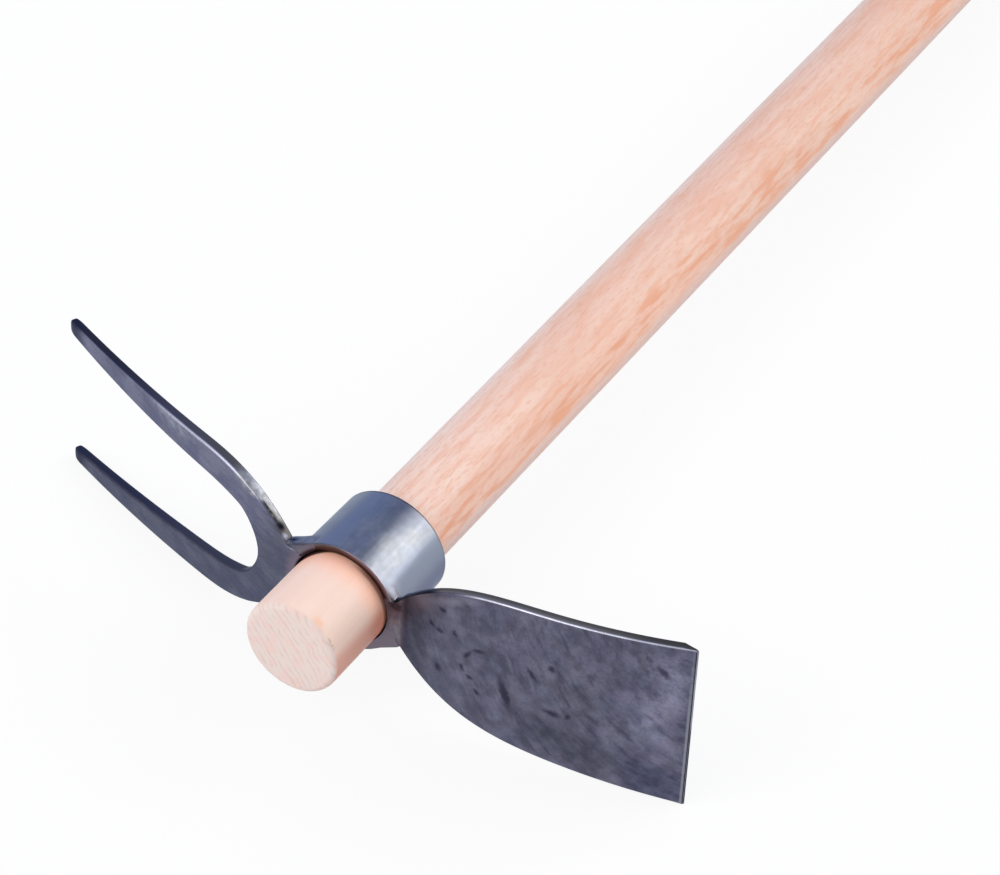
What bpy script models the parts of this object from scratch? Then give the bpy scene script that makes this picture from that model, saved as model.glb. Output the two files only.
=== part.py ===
"""Combination hoe: a hoe blade and a two-tined fork welded to a steel eye on a long wooden handle.

The handle is the drop-through kind. It goes into the eye grip end first, and its thick butt
wedges in the tapered bore, so the head can be knocked loose and slid off over the grip end.

Frame: metres, origin at the centre of the butt's flat end face. +Y runs up the handle to the
grip end, +X points out along the hoe blade, and the blade's width lies along Z, because the hoe
lies on its side.
"""
import math
from collections.abc import Callable
from dataclasses import dataclass

import bmesh
import bpy
from mathutils import Vector

# Driving dimensions in metres and degrees.

# Handle
HANDLE_LENGTH = 1.200
SHAFT_RADIUS = 0.0153
BUTT_RADIUS = 0.0174
BUTT_LENGTH = 0.0300
BUTT_ROUNDING = 0.0022
GRIP_ROUNDING = 0.0080

# Eye, the collar round the handle
EYE_LENGTH = 0.0323
EYE_WALL_BELOW = 0.0030
EYE_WALL_ABOVE = 0.0046
EYE_EDGE_ROUNDING = 0.0006
BORE_CHAMFER = 0.0011
BORE_CHAMFER_DEPTH = 0.0024
FIT_GAP = 0.0003

# Hoe blade, measured along its bowed front face from the crease at the end of its neck
BLADE_LENGTH = 0.1025
BLADE_NECK_LENGTH = 0.0034
BLADE_NECK_WIDTH = 0.0156
BLADE_CREASE_WIDTH = 0.0236
BLADE_SHOULDER_WIDTH = 0.0548
BLADE_SHOULDER_LENGTH = 0.0600
BLADE_SHOULDER_FULLNESS = 3.5
BLADE_EDGE_WIDTH = 0.0672
BLADE_THICKNESS = 0.0034
BLADE_SET_ANGLE = -7.4
BLADE_BOW_RADIUS = 0.232
BLADE_SIDE_ROUNDING = 0.0004
GROUND_BEVEL_LENGTH = 0.0050
CUTTING_EDGE_THICKNESS = 0.0010

# Fork, measured along its bowed front face from the eye
FORK_LENGTH = 0.1200
FORK_NECK_LENGTH = 0.0004
FORK_NECK_WIDTH = 0.0230
FORK_SHOULDER_WIDTH = 0.0588
FORK_SHOULDER_LENGTH = 0.0450
FORK_SHOULDER_FULLNESS = 2.7
FORK_TIP_SPREAD = 0.0612
FORK_THICKNESS = 0.0044
FORK_TIP_THICKNESS = 0.0038
FORK_SET_ANGLE = 13.0
FORK_BOW_RADIUS = 0.650
FORK_EDGE_ROUNDING = 0.0010
CROTCH_START = 0.0142
CROTCH_DEPTH = 0.0096
TINE_ROOT_WIDTH = 0.0125
TINE_TIP_WIDTH = 0.0046
TINE_TAPER_POWER = 1.4
TINE_TIP_ROUNDING = 0.0018

# Weld beads
WELD_RADIUS = 0.0023
WELD_CENTRE_OFFSET = 0.0008
WELD_CORNER_RADIUS = 0.0022
WELD_RIPPLE_PITCH = 0.0026
WELD_RIPPLE_DEPTH = 0.07
WELD_FRONT_SETBACK = 0.0014
WELD_END_SHARE = 0.55
WELD_END_STEPS = 4

# Facets
TURNED_STEPS = 48
ROUNDING_STEPS = 3
PLATE_ROW_SPACING = 0.0050
BLADE_COLUMNS = 4
FORK_COLUMNS = 2
BEVEL_SEGMENTS = 2
SHARP_ANGLE = 65.0
WELD_BEVEL_RESOLUTION = 2
CUTTER_OVERSHOOT = 0.02
MERGE_DISTANCE = 0.00002

# The handle's radius at the eye's lower rim and above it sets the bore, and the bore the eye.
BORE_RADIUS_BELOW = BUTT_RADIUS + FIT_GAP
BORE_RADIUS_ABOVE = SHAFT_RADIUS + FIT_GAP
EYE_RADIUS_BELOW = BORE_RADIUS_BELOW + EYE_WALL_BELOW
EYE_RADIUS_ABOVE = BORE_RADIUS_ABOVE + EYE_WALL_ABOVE


def clear_scene():
    for obj in list(bpy.data.objects):
        bpy.data.objects.remove(obj, do_unlink=True)


def make_collection(name):
    collection = bpy.data.collections.new(name)
    bpy.context.scene.collection.children.link(collection)
    return collection


def make_material(name, color, roughness, metallic):
    material = bpy.data.materials.new(name)
    material.use_nodes = True
    shader = material.node_tree.nodes["Principled BSDF"]
    shader.inputs["Base Color"].default_value = (*color, 1.0)
    shader.inputs["Roughness"].default_value = roughness
    shader.inputs["Metallic"].default_value = metallic
    return material


def add_object(name, data, collection, parent=None):
    obj = bpy.data.objects.new(name, data)
    obj.parent = parent
    collection.objects.link(obj)
    return obj


def hide_cutter(obj):
    obj.hide_render = True
    obj.display_type = "WIRE"


def add_boolean(obj, cutter):
    modifier = obj.modifiers.new("cut_" + cutter.name, "BOOLEAN")
    modifier.operation = "DIFFERENCE"
    modifier.solver = "EXACT"
    modifier.object = cutter


def arc(centre, radius, start, end, steps):
    """Points (radius, height) along an arc, with angles in degrees from the radial direction."""
    points = []
    for step in range(steps + 1):
        angle = math.radians(start + (end - start) * step / steps)
        points.append((centre[0] + radius * math.cos(angle), centre[1] + radius * math.sin(angle)))
    return points


def turned_piece(name, profile, closed, collection, parent=None):
    """A profile of (radius, height) points turned about the handle's axis by a Screw modifier."""
    bm = bmesh.new()
    verts = [bm.verts.new((radius, 0.0, height)) for radius, height in profile]
    pairs = list(zip(verts, verts[1:]))
    if closed:
        pairs.append((verts[-1], verts[0]))
    for pair in pairs:
        bm.edges.new(pair)
    mesh = bpy.data.meshes.new(name)
    bm.to_mesh(mesh)
    bm.free()
    obj = add_object(name, mesh, collection, parent)
    # Turning the object a quarter back about X lays the profile's height along +Y.
    obj.rotation_euler = (math.radians(-90.0), 0.0, 0.0)
    screw = obj.modifiers.new("turn", "SCREW")
    screw.axis = "Z"
    screw.steps = TURNED_STEPS
    screw.render_steps = TURNED_STEPS
    screw.use_merge_vertices = True
    screw.merge_threshold = MERGE_DISTANCE
    screw.use_smooth_shade = True
    return obj


def handle_profile():
    """Down the outer side from the grip end to the butt's flat face."""
    grip_flat = SHAFT_RADIUS - GRIP_ROUNDING
    butt_flat = BUTT_RADIUS - BUTT_ROUNDING
    profile = [(0.0, HANDLE_LENGTH)]
    profile += arc((grip_flat, HANDLE_LENGTH - GRIP_ROUNDING), GRIP_ROUNDING, 90.0, 0.0, 2 * ROUNDING_STEPS)
    profile.append((SHAFT_RADIUS, BUTT_LENGTH + EYE_LENGTH))
    profile.append((BUTT_RADIUS, BUTT_LENGTH))
    profile += arc((butt_flat, BUTT_ROUNDING), BUTT_ROUNDING, 0.0, -90.0, ROUNDING_STEPS)
    profile.append((0.0, 0.0))
    return profile


def eye_profile():
    """The collar's section, with its height measured up from its lower rim."""
    rounding = EYE_EDGE_ROUNDING
    taper = (BORE_RADIUS_BELOW - BORE_RADIUS_ABOVE) / EYE_LENGTH
    chamfer_radius = BORE_RADIUS_BELOW + BORE_CHAMFER
    chamfer_top_radius = BORE_RADIUS_BELOW - taper * BORE_CHAMFER_DEPTH
    profile = [(BORE_RADIUS_ABOVE, EYE_LENGTH)]
    profile += arc((EYE_RADIUS_ABOVE - rounding, EYE_LENGTH - rounding), rounding, 90.0, 0.0, ROUNDING_STEPS)
    profile += arc((EYE_RADIUS_BELOW - rounding, rounding), rounding, 0.0, -90.0, ROUNDING_STEPS)
    profile.append((chamfer_radius, 0.0))
    profile.append((chamfer_top_radius, BORE_CHAMFER_DEPTH))
    return profile


def eye_cutter_profile():
    """A solid cone, one fit gap larger than the eye's outside and longer at both ends."""
    slope = (EYE_RADIUS_ABOVE - EYE_RADIUS_BELOW) / EYE_LENGTH
    top = EYE_LENGTH + CUTTER_OVERSHOOT
    bottom = -CUTTER_OVERSHOOT
    top_radius = EYE_RADIUS_BELOW + slope * top + FIT_GAP
    bottom_radius = EYE_RADIUS_BELOW + slope * bottom + FIT_GAP
    return [(0.0, top), (top_radius, top), (bottom_radius, bottom), (0.0, bottom)]


def bow_angle(distance, set_angle, bow_radius):
    """The plate's lean towards the grip, in radians: none on the neck, then the set and the bow."""
    if distance < 0.0:
        return 0.0
    lean = math.radians(set_angle)
    return lean + distance / bow_radius


def bow_point(distance, crease_reach, set_angle, bow_radius):
    """(reach from the handle's axis, rise from the rim) of the front face at a distance along it."""
    if distance <= 0.0:
        return crease_reach + distance, 0.0
    start = math.radians(set_angle)
    end = start + distance / bow_radius
    reach = crease_reach + bow_radius * (math.sin(end) - math.sin(start))
    rise = bow_radius * (math.cos(start) - math.cos(end))
    return reach, rise


def shoulder_line(distance, length, neck, root, shoulder, tip, shoulder_length, fullness):
    """Half the width of a plate whose neck swells through a round shoulder into straight sides."""
    straight = shoulder + (tip - shoulder) * distance / length
    if distance >= shoulder_length:
        return straight
    swell = (shoulder - root) * (1.0 - distance / shoulder_length) ** fullness
    return max(neck, straight - swell)


def blade_edges(distance):
    """(inner, outer) edge of half the blade: the middle line and the outline."""
    outer = shoulder_line(
        distance, BLADE_LENGTH, BLADE_NECK_WIDTH / 2, BLADE_CREASE_WIDTH / 2,
        BLADE_SHOULDER_WIDTH / 2, BLADE_EDGE_WIDTH / 2, BLADE_SHOULDER_LENGTH, BLADE_SHOULDER_FULLNESS,
    )
    return 0.0, outer


def fork_outer(distance):
    return shoulder_line(
        distance, FORK_LENGTH, FORK_NECK_WIDTH / 2, FORK_NECK_WIDTH / 2,
        FORK_SHOULDER_WIDTH / 2, FORK_TIP_SPREAD / 2, FORK_SHOULDER_LENGTH, FORK_SHOULDER_FULLNESS,
    )


def tine_width(distance):
    root = CROTCH_START + CROTCH_DEPTH
    along = max(0.0, (distance - root) / (FORK_LENGTH - root))
    return TINE_TIP_WIDTH + (TINE_ROOT_WIDTH - TINE_TIP_WIDTH) * (1.0 - along ** TINE_TAPER_POWER)


def fork_edges(distance):
    """(inner, outer) edge of half the fork: web, round crotch and tapering tine."""
    outer = fork_outer(distance)
    if distance <= CROTCH_START:
        return 0.0, outer
    width = tine_width(distance)
    inner = outer - width
    crotch_end = CROTCH_START + CROTCH_DEPTH
    if distance < crotch_end:
        inner *= math.sqrt(1.0 - ((crotch_end - distance) / CROTCH_DEPTH) ** 2)
    return inner, outer


def blade_thickness(distance):
    """Full thickness up to the bevel, which is ground on the grip side."""
    bevel_start = BLADE_LENGTH - GROUND_BEVEL_LENGTH
    if distance <= bevel_start:
        return BLADE_THICKNESS
    along = (distance - bevel_start) / GROUND_BEVEL_LENGTH
    return BLADE_THICKNESS + (CUTTING_EDGE_THICKNESS - BLADE_THICKNESS) * along


def fork_thickness(distance):
    along = max(0.0, distance) / FORK_LENGTH
    return FORK_THICKNESS + (FORK_TIP_THICKNESS - FORK_THICKNESS) * along


def spread(start, end, spacing):
    """Evenly spaced values from start up to but not including end."""
    count = max(1, round((end - start) / spacing))
    return [start + (end - start) * step / count for step in range(count)]


def eased(start, end, count):
    """Values from start up to but not including end, closest at the start of an elliptical arc."""
    turns = [math.pi / 2 * step / count for step in range(count)]
    return [start + (end - start) * (1.0 - math.cos(turn)) for turn in turns]


@dataclass
class Plate:
    """What half of a bowed plate is made from; side is 1 for one along +X and -1 for one along -X."""

    name: str
    side: int
    rows: list
    columns: int
    edges: Callable
    thickness: Callable
    crease_reach: float
    bow: tuple
    edge_rounding: float
    tip_rounding: float | None


def half_plate(plate):
    """Half a bowed plate as a mesh, open at its middle plane.

    A grid is laid between the two edges, bent along the bow, and extruded to its thickness.
    """
    rows = plate.rows
    bm = bmesh.new()
    bmesh.ops.create_grid(bm, x_segments=len(rows) - 1, y_segments=plate.columns, size=0.5)
    distance_layer = bm.verts.layers.float.new("distance")
    for vert in bm.verts:
        distance = rows[round((vert.co.x + 0.5) * (len(rows) - 1))]
        across = vert.co.y + 0.5
        inner, outer = plate.edges(distance)
        reach, rise = bow_point(distance, plate.crease_reach, *plate.bow)
        vert[distance_layer] = distance
        vert.co = Vector((plate.side * reach, rise, inner + (outer - inner) * across))
    extruded = bmesh.ops.extrude_face_region(bm, geom=list(bm.faces))
    for item in extruded["geom"]:
        if isinstance(item, bmesh.types.BMVert):
            lean = bow_angle(item[distance_layer], *plate.bow)
            depth = plate.thickness(item[distance_layer])
            item.co += depth * Vector((-plate.side * math.sin(lean), math.cos(lean), 0.0))
    middle = [face for face in bm.faces if all(abs(vert.co.z) < MERGE_DISTANCE for vert in face.verts)]
    bmesh.ops.delete(bm, geom=middle, context="FACES")
    bmesh.ops.recalc_face_normals(bm, faces=list(bm.faces))
    if plate.tip_rounding:
        corners = [edge for edge in bm.edges if is_sharp(edge) and is_corner(edge, distance_layer, rows[-1])]
        round_edges(bm, corners, plate.tip_rounding, ROUNDING_STEPS)
        outline = [edge for edge in bm.edges if is_sharp(edge)]
    else:
        # A plate with no tip rounding keeps the crisp end of a cutting edge.
        outline = [edge for edge in bm.edges if is_sharp(edge) and not is_at(edge, distance_layer, rows[-1])]
    round_edges(bm, outline, plate.edge_rounding, BEVEL_SEGMENTS)
    mesh = bpy.data.meshes.new(plate.name)
    bm.to_mesh(mesh)
    bm.free()
    return mesh


def is_sharp(edge):
    """True for an edge between a broad face and a side face, or between two side faces."""
    return edge.is_manifold and edge.calc_face_angle() > math.radians(SHARP_ANGLE)


def is_at(edge, distance_layer, distance):
    return all(abs(vert[distance_layer] - distance) < MERGE_DISTANCE for vert in edge.verts)


def is_corner(edge, distance_layer, end):
    """True for an edge that runs through the plate's thickness at its far end."""
    start_vert, end_vert = edge.verts
    return is_at(edge, distance_layer, end) and abs(start_vert.co.z - end_vert.co.z) < MERGE_DISTANCE


def round_edges(bm, edges, radius, segments):
    bmesh.ops.bevel(
        bm, geom=edges, offset=radius, segments=segments, profile=0.5,
        affect="EDGES", clamp_overlap=True, material=-1,
    )


def add_mirror(obj):
    mirror = obj.modifiers.new("other_half", "MIRROR")
    mirror.use_axis = (False, False, True)
    mirror.use_clip = True
    mirror.merge_threshold = MERGE_DISTANCE


def shade(mesh, angle):
    mesh.shade_smooth()
    mesh.set_sharp_from_angle(angle=math.radians(angle))


def plate_piece(name, mesh, cutter, collection, parent):
    """The whole plate: the mirrored half, its root cut to seat against the eye."""
    shade(mesh, 30.0)
    obj = add_object(name, mesh, collection, parent)
    add_mirror(obj)
    add_boolean(obj, cutter)
    return obj


def grown_cutter(name, mesh, collection, parent):
    """The same plate swollen by the fit gap, to cut the weld bead that lies against it."""
    obj = add_object(name, mesh, collection, parent)
    add_mirror(obj)
    swell = obj.modifiers.new("fit_gap", "DISPLACE")
    swell.strength = FIT_GAP
    swell.mid_level = 0.0
    hide_cutter(obj)
    return obj


def weld_route(side, half_width, back_rise):
    """Points round three sides of a plate's root, where it meets the eye's cone."""
    offset = WELD_CENTRE_OFFSET
    corner = WELD_CORNER_RADIUS
    width = half_width + offset
    top = back_rise + offset
    outline = [(width, WELD_FRONT_SETBACK), (width, top - corner)]
    outline += [(width - corner + z, top - corner + y) for z, y in arc((0.0, 0.0), corner, 0.0, 90.0, 4)]
    outline += [(-z, y) for z, y in reversed(outline)]
    slope = (EYE_RADIUS_ABOVE - EYE_RADIUS_BELOW) / EYE_LENGTH
    points = []
    for z, y in walk(outline, WELD_RIPPLE_PITCH / 2):
        radius = EYE_RADIUS_BELOW + slope * y + offset
        points.append(Vector((side * math.sqrt(radius * radius - z * z), y, z)))
    return points


def walk(outline, spacing):
    """Points at an even spacing along a polyline."""
    lengths = [math.dist(a, b) for a, b in zip(outline, outline[1:])]
    total = sum(lengths)
    count = round(total / spacing)
    points = []
    for step in range(count + 1):
        left = total * step / count
        index = 0
        while index < len(lengths) - 1 and left > lengths[index]:
            left -= lengths[index]
            index += 1
        share = min(1.0, left / lengths[index]) if lengths[index] > 0.0 else 0.0
        start, end = outline[index], outline[index + 1]
        points.append((start[0] + (end[0] - start[0]) * share, start[1] + (end[1] - start[1]) * share))
    return points


def weld_bead(name, route, cutters, collection, parent):
    """A rippled bead along the route, cut back to the eye and the plate that it joins."""
    curve = bpy.data.curves.new(name, "CURVE")
    curve.dimensions = "3D"
    curve.bevel_depth = WELD_RADIUS
    curve.bevel_resolution = WELD_BEVEL_RESOLUTION
    curve.use_fill_caps = True
    spline = curve.splines.new("POLY")
    spline.points.add(len(route) - 1)
    for index, (point, position) in enumerate(zip(spline.points, route)):
        point.co = (*position, 1.0)
        from_end = min(index, len(route) - 1 - index)
        swell = WELD_END_SHARE + (1.0 - WELD_END_SHARE) * min(1.0, from_end / WELD_END_STEPS)
        point.radius = swell + WELD_RIPPLE_DEPTH * (1 if index % 2 else -1)
    source = add_object(name + "_curve", curve, collection, parent)
    bpy.context.view_layer.update()
    mesh = bpy.data.meshes.new_from_object(source.evaluated_get(bpy.context.evaluated_depsgraph_get()))
    mesh.name = name
    bm = bmesh.new()
    bm.from_mesh(mesh)
    bmesh.ops.remove_doubles(bm, verts=list(bm.verts), dist=MERGE_DISTANCE)
    bm.to_mesh(mesh)
    bm.free()
    shade(mesh, 60.0)
    obj = add_object(name, mesh, collection, parent)
    obj.matrix_world = source.matrix_world
    bpy.data.objects.remove(source, do_unlink=True)
    for cutter in cutters:
        add_boolean(obj, cutter)
    return obj


def build_blade(eye_cutter, parts, cutters, head):
    root = -BLADE_NECK_LENGTH - EYE_RADIUS_BELOW / 4
    bevel_start = BLADE_LENGTH - GROUND_BEVEL_LENGTH
    rows = spread(root, 0.0, PLATE_ROW_SPACING / 2)
    rows += spread(0.0, bevel_start, PLATE_ROW_SPACING)
    rows += [bevel_start, BLADE_LENGTH]
    mesh = half_plate(Plate(
        name="hoe_blade",
        side=1,
        rows=rows,
        columns=BLADE_COLUMNS,
        edges=blade_edges,
        thickness=blade_thickness,
        crease_reach=EYE_RADIUS_BELOW + BLADE_NECK_LENGTH,
        bow=(BLADE_SET_ANGLE, BLADE_BOW_RADIUS),
        edge_rounding=BLADE_SIDE_ROUNDING,
        tip_rounding=None,
    ))
    blade = plate_piece("hoe_blade", mesh, eye_cutter, parts, head)
    grown = grown_cutter("grown_blade", mesh, cutters, head)
    route = weld_route(1, BLADE_NECK_WIDTH / 2, BLADE_THICKNESS)
    weld = weld_bead("blade_weld", route, (eye_cutter, grown), parts, head)
    return blade, weld


def build_fork(eye_cutter, parts, cutters, head):
    root = -FORK_NECK_LENGTH - EYE_RADIUS_BELOW / 4
    crotch_end = CROTCH_START + CROTCH_DEPTH
    rows = spread(root, 0.0, PLATE_ROW_SPACING / 2)
    rows += spread(0.0, CROTCH_START, PLATE_ROW_SPACING / 2)
    rows += eased(CROTCH_START, crotch_end, 2 * ROUNDING_STEPS)
    rows += spread(crotch_end, FORK_LENGTH, PLATE_ROW_SPACING)
    rows.append(FORK_LENGTH)
    mesh = half_plate(Plate(
        name="fork",
        side=-1,
        rows=rows,
        columns=FORK_COLUMNS,
        edges=fork_edges,
        thickness=fork_thickness,
        crease_reach=EYE_RADIUS_BELOW + FORK_NECK_LENGTH,
        bow=(FORK_SET_ANGLE, FORK_BOW_RADIUS),
        edge_rounding=FORK_EDGE_ROUNDING,
        tip_rounding=TINE_TIP_ROUNDING,
    ))
    fork = plate_piece("fork", mesh, eye_cutter, parts, head)
    grown = grown_cutter("grown_fork", mesh, cutters, head)
    route = weld_route(-1, FORK_NECK_WIDTH / 2, FORK_THICKNESS)
    weld = weld_bead("fork_weld", route, (eye_cutter, grown), parts, head)
    return fork, weld


def build():
    clear_scene()
    parts = make_collection("combination_hoe")
    cutters = make_collection("cutters")

    wood = make_material("ash_wood", (0.72, 0.50, 0.36), 0.55, 0.0)
    eye_steel = make_material("satin_eye_steel", (0.30, 0.36, 0.44), 0.32, 1.0)
    blade_steel = make_material("forged_blade_steel", (0.15, 0.16, 0.22), 0.45, 1.0)
    fork_steel = make_material("forged_fork_steel", (0.16, 0.18, 0.25), 0.42, 1.0)
    weld_steel = make_material("weld_steel", (0.24, 0.26, 0.30), 0.40, 1.0)

    handle = turned_piece("handle", handle_profile(), False, parts)
    handle.data.materials.append(wood)

    # The head slides along the handle, so its parent empty sits on the handle's axis.
    head = add_object("head_slide_axis", None, parts)
    head.location = (0.0, BUTT_LENGTH, 0.0)

    eye = turned_piece("eye_collar", eye_profile(), True, parts, head)
    eye.data.materials.append(eye_steel)
    eye_cutter = turned_piece("grown_eye", eye_cutter_profile(), False, cutters, head)
    hide_cutter(eye_cutter)

    blade, blade_weld = build_blade(eye_cutter, parts, cutters, head)
    blade.data.materials.append(blade_steel)
    blade_weld.data.materials.append(weld_steel)
    fork, fork_weld = build_fork(eye_cutter, parts, cutters, head)
    fork.data.materials.append(fork_steel)
    fork_weld.data.materials.append(weld_steel)


build()
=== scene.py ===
# %% [markdown]
# # A combination hoe in Blender
# A long wooden handle passes through a steel eye. A broad hoe blade is welded to one side of the
# eye and a fork with two tines to the other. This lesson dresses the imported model: each piece is
# rebuilt with finer edges and gets a material made of nodes.

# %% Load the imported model
import math

import bmesh
import bpy
from mathutils import Matrix, Vector


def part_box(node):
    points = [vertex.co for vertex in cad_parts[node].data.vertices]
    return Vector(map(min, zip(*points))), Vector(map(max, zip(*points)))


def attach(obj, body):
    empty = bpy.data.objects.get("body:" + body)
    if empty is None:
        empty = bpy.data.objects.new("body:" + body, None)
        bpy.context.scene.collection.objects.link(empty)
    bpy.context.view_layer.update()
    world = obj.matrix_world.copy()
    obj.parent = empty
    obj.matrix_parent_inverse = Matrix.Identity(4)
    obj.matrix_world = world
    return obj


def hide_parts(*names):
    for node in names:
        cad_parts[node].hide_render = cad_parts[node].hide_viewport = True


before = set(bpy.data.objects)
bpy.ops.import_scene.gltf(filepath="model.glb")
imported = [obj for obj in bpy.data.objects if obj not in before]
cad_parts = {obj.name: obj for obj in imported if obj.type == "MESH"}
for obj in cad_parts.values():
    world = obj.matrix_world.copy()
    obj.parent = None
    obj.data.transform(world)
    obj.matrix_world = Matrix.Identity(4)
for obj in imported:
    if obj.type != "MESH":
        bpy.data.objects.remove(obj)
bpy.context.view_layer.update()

MM = 0.001
bpy.context.scene.view_settings.view_transform = "Standard"

# %% [markdown]
# ## Camera
# A product picture is taken from far away with a long lens, so that near and far parts keep
# nearly the same scale. The camera stands 1.32 m from the eye and looks down at 40 degrees, from
# 29 degrees to the right of the handle's line. Three perpendicular directions are enough to place
# it: where its right side, its top and its back point.

# %% Place the camera
CAMERA_PLACE = Vector((0.51348, -0.79084, 0.88337))
CAMERA_AROUND, CAMERA_ABOVE, CAMERA_ROLL = (math.radians(angle) for angle in (29.13, 40.03, 3.09))
SENSOR_WIDTH, FOCAL_LENGTH = 36.0, 145.09

back = Vector((
    math.sin(CAMERA_AROUND) * math.cos(CAMERA_ABOVE),
    -math.cos(CAMERA_AROUND) * math.cos(CAMERA_ABOVE),
    math.sin(CAMERA_ABOVE),
))
level_right = Vector((math.cos(CAMERA_AROUND), math.sin(CAMERA_AROUND), 0.0))
level_up = back.cross(level_right)
right = level_right * math.cos(CAMERA_ROLL) + level_up * math.sin(CAMERA_ROLL)
up = level_up * math.cos(CAMERA_ROLL) - level_right * math.sin(CAMERA_ROLL)

camera = bpy.data.objects.new("camera", bpy.data.cameras.new("camera"))
camera.data.sensor_width = SENSOR_WIDTH
camera.data.lens = FOCAL_LENGTH
camera.matrix_world = Matrix.Translation(CAMERA_PLACE) @ Matrix((right, up, back)).transposed().to_4x4()
bpy.context.scene.collection.objects.link(camera)
bpy.context.scene.camera = camera
print("camera looks along", (-back).to_tuple(2))


# %% [markdown]
# ## Node helpers
# Every material here is a small network of nodes. These helpers add one node each and hand back
# its output, so that a network reads like a formula. They add it to the network that is being
# built, which is always called tree. Sizes of patterns are lengths in millimetres.

# %% Helpers that add nodes
def put(kind, inputs=None, **settings):
    """Adds a node. An input is a number, a vector, a solid colour or an output to link."""
    made = tree.nodes.new(kind)
    for name, value in settings.items():
        setattr(made, name, value)
    for socket, value in (inputs or {}).items():
        if isinstance(value, bpy.types.NodeSocket):
            tree.links.new(value, made.inputs[socket])
        else:
            is_colour = made.inputs[socket].type == "RGBA"
            made.inputs[socket].default_value = (*value, 1.0) if is_colour else value
    return made


def new_material(name):
    material = bpy.data.materials.new(name)
    material.use_nodes = True
    tree = material.node_tree
    tree.nodes.clear()
    return material, tree, tree.nodes.new("ShaderNodeOutputMaterial")


def own_place():
    """Where a point lies on the piece itself, so that a pattern moves along with the piece."""
    return put("ShaderNodeTexCoord").outputs["Object"]


def separated(vector):
    return put("ShaderNodeSeparateXYZ", {0: vector}).outputs


def maths(operation, *values):
    return put("ShaderNodeMath", dict(enumerate(values)), operation=operation).outputs[0]


def times(product, *others):
    for other in others:
        product = maths("MULTIPLY", product, other)
    return product


def times_plus(value, factor, rest):
    return maths("MULTIPLY_ADD", value, factor, rest)


def vector_maths(operation, *vectors):
    """A length or a dot product is a number, and every other result is a vector."""
    made = put("ShaderNodeVectorMath", dict(enumerate(vectors)), operation=operation)
    return made.outputs["Value" if operation in ("LENGTH", "DOT_PRODUCT") else "Vector"]


def between(value, low, high, first=0.0, last=1.0):
    """Fades from first to last as the value goes from low to high."""
    return put("ShaderNodeMapRange", {
        "Value": value, "From Min": low, "From Max": high, "To Min": first, "To Max": last,
    }, interpolation_type="SMOOTHSTEP").outputs[0]


print("number helpers ready")


# %% Helpers that colour and place
def mixed(factor, first, second, blend="MIX"):
    return put("ShaderNodeMix", {"Factor": factor, "A": first, "B": second},
               data_type="RGBA", blend_type=blend, clamp_factor=True).outputs["Result"]


def tinted(colour, tint, factor=1.0):
    """The colour multiplied by a tint, which may be a plain number."""
    return mixed(factor, colour, tint, "MULTIPLY")


def painted(under, colour, where, strength):
    return mixed(times(where, strength), under, colour)


def noise(place, size, detail=2.0, turn=0.0, shift=0.0):
    """Noise with patches of one size or of three, turned about the handle by some degrees."""
    sizes = size if isinstance(size, tuple) else (size, size, size)
    squeezed = put("ShaderNodeMapping", {
        "Vector": place, "Location": (shift, shift, shift), "Rotation": (0.0, math.radians(turn), 0.0),
        "Scale": Vector(sizes) * MM,
    }, vector_type="TEXTURE")
    return put("ShaderNodeTexNoise", {
        "Vector": squeezed.outputs[0], "Scale": 1.0, "Detail": detail,
    }).outputs[0]


def patch(place, centre, halves, turn=0.0, core=0.4):
    """1 in the core of an ellipsoid and 0 from its surface outwards."""
    shrunk = put("ShaderNodeMapping", {
        "Vector": place, "Location": Vector(centre) * MM, "Rotation": (0.0, math.radians(turn), 0.0),
        "Scale": Vector(halves) * MM,
    }, vector_type="TEXTURE")
    return between(vector_maths("LENGTH", shrunk.outputs[0]), 1.0, core)


def sideways(place):
    """The place without its height along the handle."""
    return vector_maths("MULTIPLY", place, (1.0, 0.0, 1.0))


def off_axis(place):
    return vector_maths("LENGTH", sideways(place))


def facing(place, degrees):
    """1 where the surface faces that direction round the handle, less to both sides of it."""
    outward = vector_maths("NORMALIZE", sideways(place))
    direction = (math.cos(math.radians(degrees)), 0.0, math.sin(math.radians(degrees)))
    return vector_maths("DOT_PRODUCT", outward, direction)


print("colour helpers ready")

# %% [markdown]
# ## Floor
# Put down on a floor, the hoe rests on three points: the blade's lower corner, a tine's tip and
# the far end of the handle. A plane through three such points is found from the model itself.
# It is then lowered until no point of the model is under it.
#
# The floor is plain white. The camera and the reflections see it mixed with an even white, so
# that it stays a bright background, and the hoe's shadow on it is faint but still there.

# %% Find the plane that the hoe rests on
FLOOR_GAP = 0.2 * MM


def lowest_point(node):
    return min((vertex.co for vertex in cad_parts[node].data.vertices), key=lambda place: place.z)


blade_corner = lowest_point("hoe_blade")
tine_tip = lowest_point("fork")
grip_underside = Vector((0.0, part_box("handle")[1].y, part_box("handle")[0].z))
floor_normal = (tine_tip - grip_underside).cross(blade_corner - grip_underside).normalized()
if floor_normal.z < 0.0:
    floor_normal.negate()
drop = min(
    (vertex.co - grip_underside).dot(floor_normal)
    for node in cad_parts.values()
    for vertex in node.data.vertices
)
floor_place = grip_underside + floor_normal * (drop - FLOOR_GAP)
print("floor leans", round(math.degrees(floor_normal.angle(Vector((0, 0, 1)))), 2), "degrees")

# %% Lay the floor
FLOOR_HALF_WIDTH, EVEN_WHITE_SHARE = 6.0, 0.88

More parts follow.
